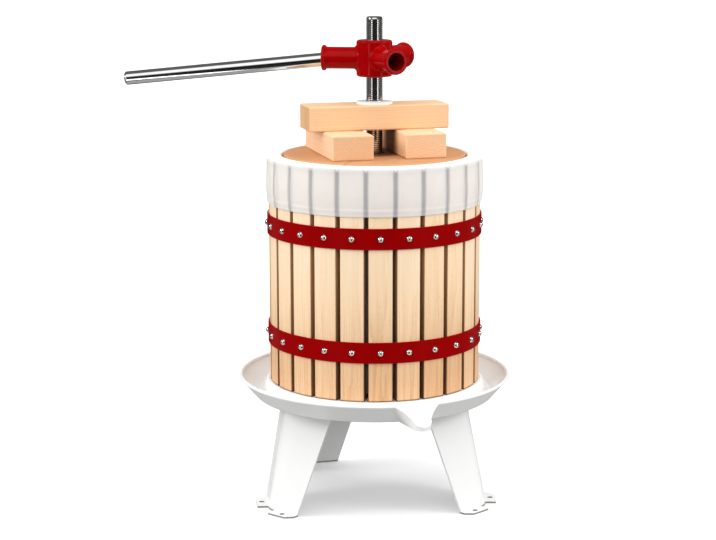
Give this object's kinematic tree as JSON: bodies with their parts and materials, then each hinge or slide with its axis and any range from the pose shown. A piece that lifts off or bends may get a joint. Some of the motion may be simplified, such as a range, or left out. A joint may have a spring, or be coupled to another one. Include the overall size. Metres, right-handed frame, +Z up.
{
  "type": "fruit press",
  "caption": "Screw fruit press: slatted wooden basket with red hoops and a filter cloth on a white three-legged catch pan, pressed by a cast nut and bar on a central spindle.",
  "frame": {"origin": "on the spindle axis in the plane of the feet", "axes": "+Z up along the spindle; -Y towards the viewer of the picture, +X to the right"},
  "size_m": [0.476, 0.3539, 0.598],
  "materials": {
    "white_enamel": "gloss white stove enamel",
    "red_enamel": "gloss deep red enamel",
    "beech": "planed pale beech, unvarnished",
    "beech_plate": "planed beech, warmer",
    "filter_cloth": "thin white filter cloth",
    "bright_steel": "rolled thread, bright steel",
    "chrome_bar": "polished chrome",
    "nickel": "nickel-plated dome",
    "zinc_steel": "zinc-plated steel",
    "white_nylon": "smooth white nylon"
  },
  "bodies": {
    "base": {"catch_pan": "white_enamel", "leg_front_left": "white_enamel", "leg_front_right": "white_enamel", "leg_rear": "white_enamel", "leg_bolts": "zinc_steel", "leg_nuts": "zinc_steel", "spindle": "bright_steel", "spindle_seat_washer": "zinc_steel", "spindle_seat_nut": "zinc_steel", "spindle_backing_plate": "zinc_steel", "spindle_lock_nut": "zinc_steel"},
    "basket": {"slat_01": "beech", "slat_02": "beech", "slat_03": "beech", "slat_04": "beech", "slat_05": "beech", "slat_06": "beech", "slat_07": "beech", "slat_08": "beech", "slat_09": "beech", "slat_10": "beech", "slat_11": "beech", "slat_12": "beech", "slat_13": "beech", "slat_14": "beech", "slat_15": "beech", "slat_16": "beech", "slat_17": "beech", "slat_18": "beech", "slat_19": "beech", "slat_20": "beech", "slat_21": "beech", "slat_22": "beech", "slat_23": "beech", "slat_24": "beech", "hoop_upper": "red_enamel", "hoop_lower": "red_enamel", "rivets_upper": "nickel", "rivets_lower": "nickel", "press_cloth": "filter_cloth"},
    "press_stack": {"plate_half_left": "beech_plate", "plate_half_right": "beech_plate", "cross_block_left": "beech", "cross_block_right": "beech", "top_block": "beech", "thrust_washer": "white_nylon"},
    "nut": {"spindle_nut": "red_enamel"},
    "bar": {"handle_bar": "chrome_bar"}
  },
  "joints": [
    {"name": "basket_lift", "type": "slide", "parent": "base", "child": "basket", "axis": [0, 0, 1], "range_m": [0, 0.025]},
    {"name": "press_travel", "type": "slide", "parent": "base", "child": "press_stack", "axis": [0, 0, 1], "range_m": [-0.071, 0.026]},
    {"name": "nut_turn", "type": "hinge", "parent": "press_stack", "child": "nut", "pos_m": [0, 0, 0.548], "axis": [0, 0, 1], "range_deg": [-10222, 3742]},
    {"name": "bar_pull", "type": "slide", "parent": "nut", "child": "bar", "axis": [-0.9893, 0.104, -0.1023], "range_m": [0, 0.042]}
  ],
  "couplings": [
    {"joint": "press_travel", "follows": "nut_turn", "m_per_rad": 0.00039789}
  ]
}
